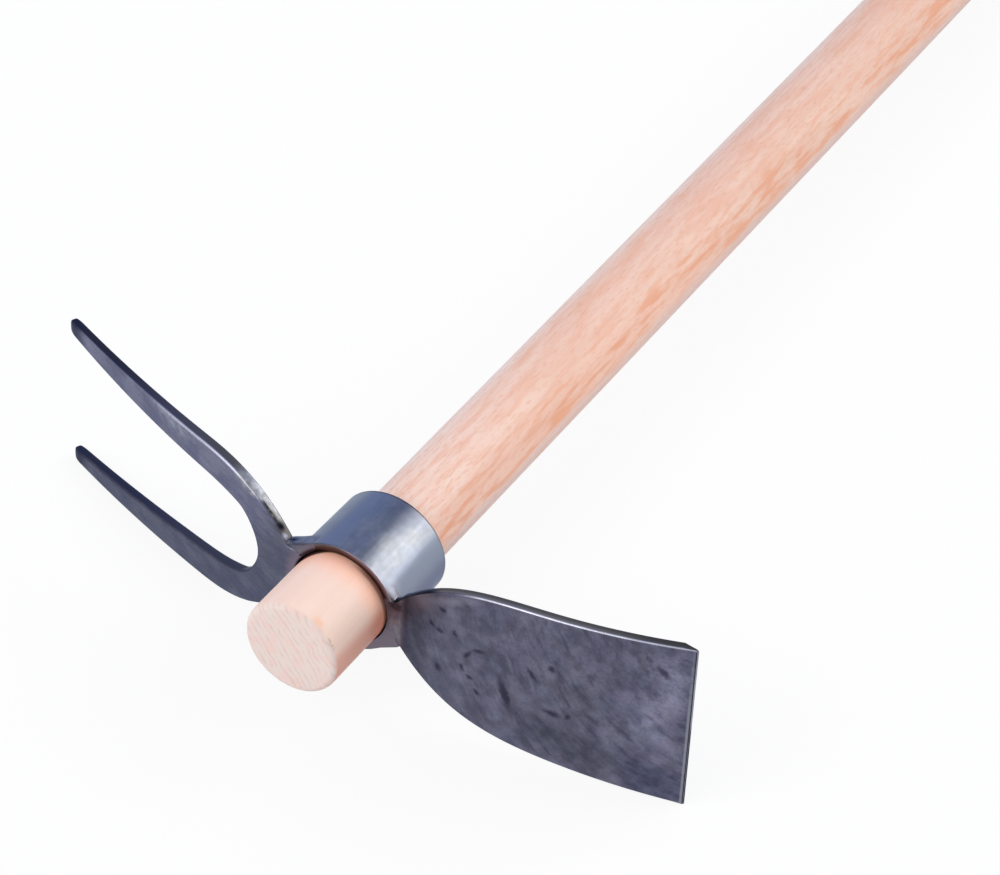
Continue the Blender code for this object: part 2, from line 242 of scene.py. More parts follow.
floor_material, tree, output = new_material("white_floor")
path = put("ShaderNodeLightPath")
seen = maths("MAXIMUM", path.outputs["Is Camera Ray"],
             maths("MAXIMUM", path.outputs["Is Glossy Ray"], path.outputs["Is Transmission Ray"]))
lit_floor = put("ShaderNodeBsdfDiffuse", {"Color": (0.86, 0.86, 0.86)})
even_white = put("ShaderNodeEmission", {"Color": (1.0, 1.0, 1.0), "Strength": 1.0})
floor_shader = put("ShaderNodeMixShader", {
    0: times(seen, EVEN_WHITE_SHARE), 1: lit_floor.outputs[0], 2: even_white.outputs[0],
})
tree.links.new(floor_shader.outputs[0], output.inputs["Surface"])

floor_mesh = bpy.data.meshes.new("floor")
floor_turn = floor_normal.to_track_quat("Z", "Y").to_matrix().to_4x4()
bm = bmesh.new()
bmesh.ops.create_grid(bm, x_segments=1, y_segments=1, size=FLOOR_HALF_WIDTH)
bmesh.ops.transform(bm, matrix=floor_turn, verts=bm.verts[:])
bmesh.ops.translate(bm, vec=floor_place, verts=bm.verts[:])
bm.to_mesh(floor_mesh)
bm.free()
floor_mesh.materials.append(floor_material)
floor = bpy.data.objects.new("floor", floor_mesh)
bpy.context.scene.collection.objects.link(floor)
print("floor at", floor_place.to_tuple(3))

# %% [markdown]
# ## Light
# Steel is only as bright as what it mirrors. The eye's broad bright band is a large soft lamp
# behind the hoe to the right. A second soft lamp, in front to the left, lifts the sawn end of the
# butt and draws the thin bright lines along the rubbed edges. The surroundings are a soft pale
# grey that gets darker and bluer behind the hoe to the left, which keeps the top of the eye and
# the sides of the tines dark.

# %% Set the surroundings
DARK_DIRECTION = Vector((-0.42, 0.66, 0.62)).normalized()
PALE_GREY, DEEP_BLUE = (0.62, 0.62, 0.63), (0.45, 0.55, 0.88)

world = bpy.data.worlds.new("studio")
world.use_nodes = True
bpy.context.scene.world = world
tree = world.node_tree
tree.nodes.clear()
looking = put("ShaderNodeTexCoord").outputs["Generated"]
towards_dark = vector_maths("DOT_PRODUCT", looking, DARK_DIRECTION)
sky_colour = mixed(between(towards_dark, 0.62, 0.96), PALE_GREY, DEEP_BLUE)
sky = put("ShaderNodeBackground", {"Color": sky_colour, "Strength": 1.0})
tree.links.new(sky.outputs[0], put("ShaderNodeOutputWorld").inputs["Surface"])
print("surroundings set")


# %% Hang the lamps
LAMP_DISTANCE, LAMP_COLOUR = 6.0, (1.0, 0.99, 0.98)
WATTS_PER_AREA = 4.0


def soft_lamp(name, direction, size, radiance):
    """A square lamp that faces the hoe's head from the given direction."""
    lamp = bpy.data.lights.new(name, "AREA")
    lamp.size = size
    lamp.energy = WATTS_PER_AREA * size ** 2 * radiance
    lamp.color = LAMP_COLOUR
    made = bpy.data.objects.new(name, lamp)
    towards = Vector(direction).normalized()
    made.matrix_world = (Matrix.Translation(towards * LAMP_DISTANCE)
                         @ towards.to_track_quat("Z", "Y").to_matrix().to_4x4())
    made.visible_camera = False
    bpy.context.scene.collection.objects.link(made)
    print(name, round(lamp.energy), "W")


soft_lamp("key_lamp", (0.56, 0.67, 0.49), 4.5, 2.35)
soft_lamp("fill_lamp", (-0.37, -0.65, 0.66), 4.2, 2.5)

# %% [markdown]
# ## Sizes
# The main sizes are the model's own, in millimetres. The new pieces follow them, so that
# each lies where its solid lies.

# %% Note the main sizes
HANDLE_LENGTH, SHAFT_RADIUS = 1200.0, 15.3
RIM, EYE_TOP = 30.0, 62.3
BORE_BELOW, BORE_ABOVE = 17.7, 15.6
EYE_BELOW, EYE_ABOVE = 20.7, 20.2
BLADE_CREASE, FORK_ROOT = 24.1, 21.1
MERGE_DISTANCE = 0.001 * MM
print("eye from", RIM, "to", EYE_TOP, "mm up the handle")


# %% Helpers that finish a mesh
def finished(name, bm, replaced, body, sharp=35.0):
    """Turns the bmesh into a smooth-shaded object that stands for a node of the model."""
    bmesh.ops.recalc_face_normals(bm, faces=bm.faces[:])
    mesh = bpy.data.meshes.new(name)
    bm.to_mesh(mesh)
    bm.free()
    mesh.shade_smooth()
    mesh.set_sharp_from_angle(angle=math.radians(sharp))
    made = bpy.data.objects.new(name, mesh)
    bpy.context.scene.collection.objects.link(made)
    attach(made, body)
    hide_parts(replaced)
    print(name, len(mesh.polygons), "faces")
    return made


def arc(centre, radius, start, end, steps):
    """Points along an arc, in millimetres and degrees."""
    angles = [math.radians(start + (end - start) * step / steps) for step in range(steps + 1)]
    return [(centre[0] + radius * math.cos(turn), centre[1] + radius * math.sin(turn)) for turn in angles]


def evenly(start, end, step):
    count = max(1, round((end - start) / step))
    return [start + (end - start) * index / count for index in range(count)]


def turned(profile, closed, steps):
    """A profile of (radius, height) in millimetres, spun about the handle's axis."""
    bm = bmesh.new()
    points = [bm.verts.new((radius * MM, height * MM, 0.0)) for radius, height in profile]
    pairs = list(zip(points, points[1:])) + ([(points[-1], points[0])] if closed else [])
    lines = [bm.edges.new(pair) for pair in pairs]
    bmesh.ops.spin(bm, geom=points + lines, cent=(0, 0, 0), axis=(0, 1, 0), angle=math.tau,
                   steps=steps, use_merge=True, use_duplicate=False)
    bmesh.ops.remove_doubles(bm, verts=bm.verts[:], dist=MERGE_DISTANCE)
    return bm


# %% [markdown]
# ## Handle
# The handle is turned on a lathe from one straight length of beech. Its butt is thicker below the
# eye, because the taper is what holds the head. A profile spun about the axis makes it. The ends
# get small round edges, as sandpaper leaves them.

# %% Turn the handle
BUTT_FLAT, BUTT_ROUNDING = 15.2, 2.2
GRIP_FLAT, GRIP_ROUNDING = 7.3, 8.0

profile = [(0.0, 0.0), (5.0, 0.0), (10.0, 0.0)]
profile += arc((BUTT_FLAT, BUTT_ROUNDING), BUTT_ROUNDING, -90.0, -6.0, 10)
profile += [(17.45, 4.0), (17.42, 12.0), (17.4, 22.0), (17.3, RIM), (SHAFT_RADIUS, EYE_TOP)]
profile += [(SHAFT_RADIUS, height) for height in range(90, 1180, 30)]
profile += arc((GRIP_FLAT, HANDLE_LENGTH - GRIP_ROUNDING), GRIP_ROUNDING, 0.0, 90.0, 12)
profile += [(0.0, HANDLE_LENGTH)]
bm = turned(profile, False, 96)
handle = finished("turned_handle", bm, "handle", "handle", sharp=50.0)

# %% [markdown]
# ## Wood
# Growth rings are cylinders round the middle of the tree, so a piece cut from a board shows arcs
# on its end and long flame-like bands on its side. One pattern in space gives both: the distance
# from a line beside the handle, wrapped every 2.3 mm. The line leans a little, and noise that is
# stretched along the handle bends the rings.

# %% Draw the growth rings
PITH_PLACE, RING_LEAN, RING_WIDTH = (-0.087, 0.0, -0.065), 0.012, 0.0023

wood, tree, output = new_material("sanded_beech")
place = own_place()
height = separated(place)["Y"]

bend = noise(place, (14.0, 330.0, 14.0))
ripple = noise(place, (5.5, 200.0, 5.5), shift=0.6)
from_pith = off_axis(vector_maths("SUBTRACT", place, PITH_PLACE))
leaning = times_plus(height, RING_LEAN, from_pith)
waved = times_plus(ripple, 0.0030, times_plus(bend, 0.0034, leaning))
ring = maths("FRACT", times(waved, 1.0 / RING_WIDTH))
uneven = between(noise(place, (3.6, 300.0, 3.6), 3.0, shift=0.9), 0.36, 0.62, 0.05, 1.0)
late = times(between(ring, 0.40, 0.85), between(ring, 1.0, 0.86), uneven)
print("rings every", round(RING_WIDTH / MM, 1), "mm")

# %% [markdown]
# Sanded beech is pink, with short orange streaks and fine flecks along the grain. The shaft is
# warmest on one side and has a grey and a cream painted sheen towards two others. It is a little
# paler near the eye, and painted light and shade make it lighter near the head and darker further
# up. Each noise is stretched along the handle, as the fibres are.

# %% Colour the shaft
flare = between(noise(place, (6.0, 45.0, 6.0), shift=0.3), 0.36, 0.66)
streak = between(noise(place, (2.6, 17.0, 2.6), 3.0, shift=0.7), 0.42, 0.66)
fleck = between(noise(place, (0.8, 4.0, 0.8), 3.0, shift=0.5), 0.50, 0.70)
fibre = noise(place, (0.34, 9.0, 0.34), shift=0.1)
warm_side = between(facing(place, 24.0), 0.88, 0.995)
# Painted sheen: a grey side and a cream side stand in for the grazing reflection along two edges.
grey_sheen_side = between(facing(place, -42.0), 0.58, 0.86)
cream_sheen_side = between(facing(place, 165.0), 0.56, 0.87)

pale = mixed(flare, (0.79, 0.515, 0.405), (0.82, 0.570, 0.460))
pale = mixed(between(height, 0.165, 0.090, 0.0, 0.75), pale, (0.85, 0.635, 0.535))
warmth = times(warm_side, between(height, 0.26, 0.20, 0.1, 0.50))
warmed = mixed(warmth, pale, (0.83, 0.470, 0.350))
sheen_sides = maths("MAXIMUM", grey_sheen_side, cream_sheen_side)
streak_strength = times_plus(sheen_sides, -0.16, times_plus(warm_side, 0.64, 0.40))
greyed = painted(warmed, (0.67, 0.525, 0.490), grey_sheen_side, 0.85)
creamed = painted(greyed, (0.81, 0.680, 0.620), cream_sheen_side, 0.85)
orange = mixed(times(streak, streak_strength), creamed, (0.78, 0.375, 0.235))
banded = painted(orange, (0.72, 0.41, 0.30), late, 0.28)
flecked = painted(banded, (0.72, 0.39, 0.27), fleck, 0.50)
# Painted light and shade: lighter near the head and darker further up the shaft.
shaded_along = tinted(flecked, between(height, 0.05, 0.42, 1.02, 0.95))
print("shaft coloured")

# %% [markdown]
# The butt was cut through to paler wood. It blushes towards the eye and has painted shade on its
# lower side. Close to the rim it has painted shade from the steel and a dark painted shadow line
# in the gap. That shade is drawn on the wood, so that it stays on the butt as a dark ring when
# the head is away at the grip end.

# %% Colour the butt
butt_pale = mixed(flare, (0.870, 0.640, 0.530), (0.890, 0.670, 0.565))
rim_blush = times(between(height, 0.018, 0.029), between(flare, 0.0, 1.0, 1.0, 0.8))
butt_warm = mixed(rim_blush, butt_pale, (0.99, 0.545, 0.395))
# Painted shade: the butt is darker on its lower side.
low_side_shade = between(facing(place, -8.0), 0.86, 0.995)
butt_low = tinted(butt_warm, (0.92, 0.64, 0.59), low_side_shade)
wander = noise(place, 1.6, 3.0, shift=0.2)
push = vector_maths("MULTIPLY", wander, (0.003, 0.003, 0.003))
pushed = vector_maths("ADD", place, push)
warm_spot = patch(pushed, (10.8, 3.6, 16.2), (3.6, 3.0, 3.6), 0.0, 0.1)
spotted = painted(butt_low, (0.88, 0.49, 0.30), warm_spot, 0.65)
check = patch(pushed, (16.3, 2.6, 10.6), (1.3, 1.2, 3.8), -25.0, 0.3)
checked = painted(spotted, (0.42, 0.23, 0.17), check, 0.8)
# Painted shade next to the eye's rim, and a painted shadow line in the gap at the rim.
rim_shade = times(between(height, 0.0284, 0.0298),
                between(facing(place, 15.0), 0.45, 0.80, 0.15, 0.85))
shaded = mixed(rim_shade, checked, (0.28, 0.115, 0.080))
to_back = maths("MINIMUM", facing(place, 200.0), 0.6)
gap_shadow = between(times_plus(to_back, 0.006, height), 0.0295, 0.0309)
dark_line = mixed(gap_shadow, shaded, (0.060, 0.024, 0.020))
sides = mixed(between(height, 0.0322, 0.0332), dark_line, shaded_along)
print("butt coloured")

# %% Colour the sawn end and finish the wood
pink = between(noise(place, (5.0, 40.0, 5.0), 3.0, shift=0.8), 0.45, 0.65)
end_base = mixed(pink, (0.800, 0.665, 0.610), (0.830, 0.625, 0.565))
end_grain = painted(end_base, (0.655, 0.500, 0.455), late, 0.55)
coloured = mixed(between(height, 0.0006, 0.0020), end_grain, sides)
fine = tinted(coloured, between(fibre, 0.2, 0.8, 0.98, 1.02))
relief = put("ShaderNodeBump", {"Height": fibre, "Strength": 0.12, "Distance": 0.0002})
wood_shader = put("ShaderNodeBsdfPrincipled", {
    "Base Color": fine, "Roughness": 0.55, "IOR": 1.45, "Specular IOR Level": 0.28,
    "Normal": relief.outputs[0],
})
tree.links.new(wood_shader.outputs[0], output.inputs["Surface"])
handle.data.materials.append(wood)
print("wood has", len(tree.nodes), "nodes")

# %% [markdown]
# ## Eye
# The eye is a short length of thick steel tube, widened a little at its lower end so that the
# butt wedges in it. It is turned smooth. Its lower rim is flat and stands close to the wood, and
# its brown is a painted reflection of the wood. Only a narrow broken edge catches the light.

# %% Turn the eye
BROKEN_EDGE = 0.22

profile = [(BORE_ABOVE, EYE_TOP)]
profile += arc((EYE_ABOVE - BROKEN_EDGE, EYE_TOP - BROKEN_EDGE), BROKEN_EDGE, 90.0, 0.0, 5)
profile += arc((EYE_BELOW - BROKEN_EDGE, RIM + BROKEN_EDGE), BROKEN_EDGE, 0.0, -90.0, 5)
profile += [(BORE_BELOW + 0.5, RIM), (BORE_BELOW + 0.35, RIM + 0.1), (BORE_BELOW - 0.02, RIM + 0.8)]
bm = turned(profile, True, 160)
eye = finished("turned_eye", bm, "eye_collar", "head")


# %% [markdown]
# ## Plates
# The blade and the fork are cut from plate and bent. The outline becomes one flat face, which is
# extruded to the plate's thickness. Insets that step inwards and outwards along a quarter circle
# round its edges. Cuts across the plate every few millimetres let it bend.

# %% Helpers for bent plates
ROUNDING_STEPS = 4
ROOT_HOLLOW, SHARP_WITHIN, SHARP_DEPTH = 18.0, 19.7, 1.2
FRONT_STEP = 0.06


def swelling(along, length, root, shoulder, tip, shoulder_length, fullness):
    """Half width of a plate that swells from its root through a round shoulder."""
    straight = shoulder + (tip - shoulder) * along / length
    if along >= shoulder_length:
        return straight
    return straight - (shoulder - root) * (1.0 - max(0.0, along) / shoulder_length) ** fullness


def root_end(reach, half_width):
    """The hollow end of a root, which follows the bore."""
    return [(math.sqrt(ROOT_HOLLOW ** 2 - across ** 2) - reach, across)
            for across in evenly(0.0, half_width, 1.2)]


def flat_plate(half, thickness, rounding, cuts):
    """A flat plate from half its outline: x runs along it, z across it and y through it."""
    outline = half + [(along, -across) for along, across in reversed(half[1:-1])]
    bm = bmesh.new()
    bm.faces.new([bm.verts.new((along, rounding, across)) for along, across in outline])
    lifted = bmesh.ops.extrude_face_region(bm, geom=bm.faces[:])["geom"]
    bmesh.ops.translate(bm, vec=(0.0, thickness - 2.0 * rounding, 0.0),
                        verts=[item for item in lifted if isinstance(item, bmesh.types.BMVert)])
    bmesh.ops.recalc_face_normals(bm, faces=bm.faces[:])
    caps = [face for face in bm.faces if len(face.verts) > 4]
    for step in range(ROUNDING_STEPS):
        first, last = (math.pi / 2 * (step + part) / ROUNDING_STEPS for part in (0, 1))
        for cap in caps:
            bmesh.ops.inset_region(bm, faces=[cap], use_boundary=True, use_even_offset=True,
                                   thickness=rounding * (math.cos(first) - math.cos(last)),
                                   depth=rounding * (math.sin(last) - math.sin(first)))
    for cut in cuts:
        bmesh.ops.bisect_plane(bm, geom=bm.verts[:] + bm.edges[:] + bm.faces[:], dist=1e-5,
                               plane_co=(cut, 0.0, 0.0), plane_no=(1.0, 0.0, 0.0))
    return bm


def bend_plate(bm, side, reach, set_angle, bow_radius, section):
    """Lays the plate against the rim on the given side and bends it towards the grip.

    The section scales and shifts the depth of a point. The hollow root keeps a sharp front edge,
    so that it lies flush with the eye's rim. Each point notes how far along and how deep it was.
    """
    along_note = bm.verts.layers.float.new("along")
    depth_note = bm.verts.layers.float.new("depth")
    for vertex in bm.verts:
        along, depth, across = vertex.co
        if math.hypot(reach + along, across) < SHARP_WITHIN and depth < SHARP_DEPTH:
            depth = 0.0
        vertex[along_note], vertex[depth_note] = along, depth
        start = math.radians(set_angle) if along > 0.0 else 0.0
        end = start + max(0.0, along) / bow_radius
        out = reach + min(0.0, along) + bow_radius * (math.sin(end) - math.sin(start))
        rise = RIM - FRONT_STEP + bow_radius * (math.cos(start) - math.cos(end))
        front, scale = section(along)
        deep = front + depth * scale
        out -= deep * math.sin(end)
        rise += deep * math.cos(end)
        vertex.co = Vector((side * out, rise, across)) * MM
    bmesh.ops.remove_doubles(bm, verts=bm.verts[:], dist=MERGE_DISTANCE)


print("plate helpers ready")

# %% [markdown]
# ## Blade
# A hoe blade is bowed so that it is stiff, and its last few millimetres are ground thin on the
# grip side. Its neck is flat and lies level with the eye's rim, up to a crease where the blade
# is set back by a few degrees. The outline therefore starts at the bore.

# %% Shape the blade
BLADE_LENGTH, BLADE_THICKNESS, BLADE_SET, BLADE_BOW = 102.5, 3.4, -7.4, 232.0
NECK_HALF, NECK_LENGTH, NECK_FLARE = 7.8, 3.4, 3.9
BEVEL_LENGTH, BEVEL_SHARE = 5.0, 0.82
EDGE_CORNER, CORNER_HALF, BLADE_ROUNDING = 0.8, 33.55, 0.60


def blade_half(along):
    if along < 0.0:
        return NECK_HALF + NECK_FLARE * max(0.0, 1.0 + along / NECK_LENGTH)
    return swelling(along, BLADE_LENGTH, root=11.7, shoulder=27.4, tip=33.6,
                    shoulder_length=60.0, fullness=3.5)


def blade_section(along):
    """The front stays where it is, and the ground end gets thinner behind it."""
    return 0.0, 1.0 - BEVEL_SHARE * max(0.0, along - BLADE_LENGTH + BEVEL_LENGTH) / BEVEL_LENGTH


corner_start, bevel_start = BLADE_LENGTH - EDGE_CORNER, BLADE_LENGTH - BEVEL_LENGTH
half = root_end(BLADE_CREASE, NECK_HALF)
half += [(along, blade_half(along)) for along in evenly(-7.9, corner_start, 1.25)]
half += arc((corner_start, CORNER_HALF - EDGE_CORNER), EDGE_CORNER, 90.0, 0.0, 4)
half += [(BLADE_LENGTH, 0.0)]
cuts = evenly(-6.0, 0.0, 2.0) + [-0.2] + evenly(0.0, bevel_start, 2.5)
cuts += [bevel_start, 99.0, 100.5, 101.2, 101.6]
bm = flat_plate(half, BLADE_THICKNESS, BLADE_ROUNDING, cuts)
bend_plate(bm, 1, BLADE_CREASE, BLADE_SET, BLADE_BOW, blade_section)
blade = finished("forged_blade", bm, "hoe_blade", "head")

# %% [markdown]
# ## Fork
# The fork starts as a web as wide as the eye, opens at a round crotch and runs out in two tines
# that get narrower and a little thinner towards their blunt tips. Its edges are much rounder than
# the blade's, because a tine is drawn out by hammering. The outline is drawn for 120 mm and cut
# off a tenth of a millimetre earlier, which keeps the bent tips inside the model.

# %% Shape the fork
FORK_OUTLINE, FORK_LENGTH, FORK_THICKNESS, FORK_SET, FORK_BOW = 120.0, 119.9, 4.4, 13.0, 650.0
WEB_HALF, FORK_ROUNDING = 11.5, 1.05
CROTCH_START, CROTCH_END, CROTCH_STEPS = 14.2, 23.8, 16
TINE_WIDTH, TINE_WIDENING, TINE_THINNING = 4.6, 7.9, 0.14
TIP_ROUND, BLUNT_LENGTH, BLUNT_RADIUS, BLUNT_FRONT = 2.1, 5.0, 5.3, 0.6


def fork_outer(along):
    return swelling(along, FORK_OUTLINE, WEB_HALF, shoulder=29.4, tip=30.6,
                    shoulder_length=45.0, fullness=2.7)


def fork_inner(along):
    share = max(0.0, (along - CROTCH_END) / (FORK_OUTLINE - CROTCH_END))
    inner = fork_outer(along) - TINE_WIDTH - TINE_WIDENING * (1.0 - share ** 1.4)
    if along < CROTCH_END:
        inner *= math.sqrt(1.0 - ((CROTCH_END - along) / (CROTCH_END - CROTCH_START)) ** 2)
    return inner


def fork_section(along):
    """The tines get a little thinner, and their last 5 mm are rounded from front and back."""
    thinner = 1.0 - TINE_THINNING * max(0.0, along) / FORK_LENGTH
    into_tip = max(0.0, along - FORK_LENGTH + BLUNT_LENGTH) / BLUNT_RADIUS
    blunt = 1.0 - math.sqrt(1.0 - into_tip ** 2)
    return FORK_THICKNESS * thinner * BLUNT_FRONT * blunt, thinner * (1.0 - blunt)


tine_end = FORK_LENGTH - TIP_ROUND
half = root_end(FORK_ROOT, WEB_HALF)
half += [(along, fork_outer(along)) for along in evenly(-7.2, tine_end, 1.3)]
half += arc((tine_end, fork_outer(tine_end) - TIP_ROUND), TIP_ROUND, 90.0, 0.0, 7)
half += arc((tine_end, fork_inner(tine_end) + TIP_ROUND), TIP_ROUND, 0.0, -90.0, 7)
half += [(along, fork_inner(along)) for along in reversed(evenly(CROTCH_END, tine_end, 1.3))]
crotch = [CROTCH_END - (CROTCH_END - CROTCH_START) * math.sin(math.pi / 2 * step / CROTCH_STEPS)
          for step in range(1, CROTCH_STEPS + 1)]
half += [(along, fork_inner(along)) for along in crotch]
cuts = evenly(-6.0, 0.0, 2.0) + evenly(0.0, FORK_LENGTH - BLUNT_LENGTH, 2.4)
cuts += [FORK_LENGTH - left for left in (5.0, 4.0, 3.0, 2.0, 1.2, 0.6)]
bm = flat_plate(half, FORK_THICKNESS, FORK_ROUNDING, cuts)
bend_plate(bm, -1, FORK_ROOT, FORK_SET, FORK_BOW, fork_section)
fork = finished("forged_fork", bm, "fork", "head")


# %% [markdown]
# ## Welds
# The welds fill the corners between the roots and the eye. Seen from the rim, each runs from the
# plate's edge along a straight line until it just touches the eye's round side. Behind the plate
# the weld is a low hollow fillet. All of it can be told as one height above the eye's surface
# that depends on the direction and on the place along the handle, so a grid wrapped round the
# eye and raised by that height makes the weld. Small waves are the ripples of the bead.

# %% Helpers for the welds
TOUCH_RADIUS = 20.65
WELD_TOP = 38.6
FILLET_WIDTH = 3.4


def eye_radius(height):
    return EYE_BELOW + (EYE_ABOVE - EYE_BELOW) * (height - RIM) / (EYE_TOP - RIM)


def fade(value, low, high):
    share = min(1.0, max(0.0, (value - low) / (high - low)))
    return share * share * (3.0 - 2.0 * share)


def tangent_line(direction, touch):
    """How far a line that touches the eye in one direction stands off it in another."""
    return TOUCH_RADIUS / math.cos(math.radians(max(0.0, abs(direction - touch)))) - TOUCH_RADIUS


def lump(direction, height, at_direction, at_height, size):
    off = math.hypot((direction - at_direction) * 0.36, height - at_height)
    return math.exp(-(off / size) ** 2)


def weld_skin(name, replaced, first, last, raised, over_rim):
    """A grid on the eye between two directions in degrees, raised and closed on its inside."""
    heights = [30.12, 30.3, 30.65, 31.1] + evenly(31.6, WELD_TOP, 0.5)
    directions = evenly(first, last, 0.9) + [last]
    bm = bmesh.new()
    bmesh.ops.create_grid(bm, x_segments=len(directions) - 1, y_segments=len(heights) - 1, size=0.5)
    for vertex in bm.verts:
        direction = directions[round((vertex.co.x + 0.5) * (len(directions) - 1))]
        height = heights[round((vertex.co.y + 0.5) * (len(heights) - 1))]
        stand = max(-0.15, raised(direction, height) - 0.12)
        stand -= 0.45 * (1.0 - fade(height, RIM, 30.9)) * min(1.0, max(0.0, stand))
        turn = math.radians(direction)
        radius = eye_radius(height) + stand
        height -= 0.22 * over_rim(direction) * (1.0 - fade(height, 30.2, 31.0))
        vertex.co = Vector((radius * math.cos(turn), height, radius * math.sin(turn))) * MM
    inside = bmesh.ops.extrude_face_region(bm, geom=bm.faces[:])["geom"]
    for vertex in (item for item in inside if isinstance(item, bmesh.types.BMVert)):
        from_axis = Vector((vertex.co.x, 0.0, vertex.co.z))
        direction = math.degrees(math.atan2(from_axis.z, from_axis.x))
        radius = eye_radius(vertex.co.y / MM) - 0.9 - 1.85 * max(0.0, over_rim(direction))
        vertex.co -= from_axis - from_axis.normalized() * radius * MM
    return finished(name, bm, replaced, "head", sharp=60.0)


def back_fillet(height, behind, tall, ripple):
    share = max(0.0, 1.0 - max(0.0, height - behind) / FILLET_WIDTH)
    return tall * share ** 1.6 * ripple


def bead_ripple(direction):
    return 1.0 + 0.07 * math.sin(direction * 1.35)


print("weld helpers ready")


# %% Lay the fork's weld
def fork_weld(direction, height):
    off = abs(direction - 180.0)
    side = tangent_line(180.0 - max(off, 28.0), 115.0) if off < 65.0 else 0.0
    side *= 1.0 - fade(height, 34.0, 37.8)
    side -= 0.35 * min(1.0, side) * (1.0 - fade(height, RIM, 32.6))
    side += 0.45 * lump(180.0 - off, height, 149.0, 32.0, 1.1)
    side -= 0.5 * min(1.0, side) * lump(180.0 - off, height, 141.5, 32.4, 1.1)
    plate = 1.0 - fade(off, 22.0, 32.0)
    return side * (1.0 - plate) + plate * back_fillet(height, 34.2, 3.0, bead_ripple(off))


def over_fork_rim(direction):
    off = abs(direction % 360.0 - 180.0)
    return fade(off, 31.0, 37.0) * (1.0 - fade(off, 52.0, 66.0)) - 3.4 * (1.0 - fade(off, 27.0, 32.5))


fork_bead = weld_skin("fork_bead", "fork_weld", 112.0, 248.0, fork_weld, over_fork_rim)


# %% Lay the blade's weld
LOWER_TOUCH, UPPER_TOUCH = -61.0, 36.0


def blade_weld(direction, height):
    """Below the neck the line is long. Above it the line is short and ends in a grainy smear."""
    if direction < 0.0:
        side = tangent_line(min(direction, -23.0), LOWER_TOUCH) if direction > LOWER_TOUCH else 0.0
        side *= 1.0 - fade(height, 32.4, 36.8)
        plate = 1.0 - fade(-direction, 18.0, 27.0)
    else:
        side = tangent_line(min(max(direction, 18.0), UPPER_TOUCH), UPPER_TOUCH)
        side *= 1.0 - fade(height, 32.8, 35.4)
        grainy = 1.0 + 0.25 * math.sin(direction * 2.3) * math.sin(height * 3.1)
        side += 0.13 * grainy * fade(56.0 - direction, 0.0, 22.0) * lump(0.0, height, 0.0, 31.6, 2.0)
        plate = 1.0 - fade(direction, 14.0, 22.0)
    return side * (1.0 - plate) + plate * back_fillet(height, 33.2, 2.4, bead_ripple(direction))


def over_blade_rim(direction):
    return fade(direction, -70.0, -56.0) * (1.0 - fade(direction, -16.0, -6.0))


blade_bead = weld_skin("blade_bead", "blade_weld", -72.0, 57.0, blade_weld, over_blade_rim)

# %% [markdown]
# ## Steel
# The blade and the fork keep the dark blue-grey skin from the forge. It is mottled, with darker
# marks where scale was hammered in, and brighter along edges that are rubbed and painted bright
# as a highlight. The eye is turned clean and mirrors more. They share one last step: a colour, a
# roughness and a fine relief.

# %% A helper that finishes a steel
def steel_shader(output, colour, roughness, relief, relief_depth):
    bump = put("ShaderNodeBump", {"Height": relief, "Strength": 0.5, "Distance": relief_depth * MM})
    shader = put("ShaderNodeBsdfPrincipled", {
        "Base Color": colour, "Metallic": 1.0, "Roughness": roughness, "Normal": bump.outputs[0],
        "Specular Tint": (0.62, 0.67, 0.78),
    })
    tree.links.new(shader.outputs[0], output.inputs["Surface"])


def plate_note(name):
    """How far along the plate a point lies, or how deep behind its front, in millimetres."""
    return put("ShaderNodeAttribute", attribute_name=name).outputs["Fac"]


def band(value, start, full_from, full_to, end):
    """1 between the two middle values and 0 outside the outer ones."""
    return times(between(value, start, full_from), between(value, end, full_to))


def ragged(place, wander, reach):
    """The place, pushed about by a noise, so that the outline of a mark becomes uneven."""
    push = vector_maths("MULTIPLY", wander, (reach * MM, 0.0, reach * MM))
    moved = vector_maths("ADD", place, push)
    return vector_maths("ADD", moved, (-0.5 * reach * MM, 0.0, -0.5 * reach * MM))


print("steel helpers ready")

# %% [markdown]
# The blade's strokes were left by a grinding belt that swept over it in arcs: steep near the neck
# and flatter towards the cutting edge. The distance from the middle of those arcs and the angle
# round it stretch a noise along them. Clouds, blotches and a fine grain break up the rest.

# %% Draw the blade's skin
ARC_MIDDLE, SWING_RADIUS = (0.150, 0.0, 0.045), 0.09

blade_steel, tree, output = new_material("forged_blade_steel")
place = own_place()
along, depth = plate_note("along"), plate_note("depth")
split = separated(place)
out, across = split["X"], split["Z"]
from_middle = vector_maths("SUBTRACT", place, ARC_MIDDLE)
arms = separated(from_middle)
swing = times(maths("ARCTAN2", arms["Z"], arms["X"]), SWING_RADIUS)
arm = off_axis(from_middle)
stroke_place = put("ShaderNodeCombineXYZ", {"X": swing, "Z": arm}).outputs[0]
strokes = noise(stroke_place, (10.0, 10.0, 3.0), 4.0)
fine_strokes = noise(stroke_place, (4.0, 4.0, 1.0), 3.0, shift=0.2)
clouds = noise(place, 13.0, 4.0)
blotches = noise(place, 5.0, 3.0, shift=0.8)
wander = noise(place, 1.6, 3.0, shift=0.4)
grain = noise(place, 0.8, shift=0.6)

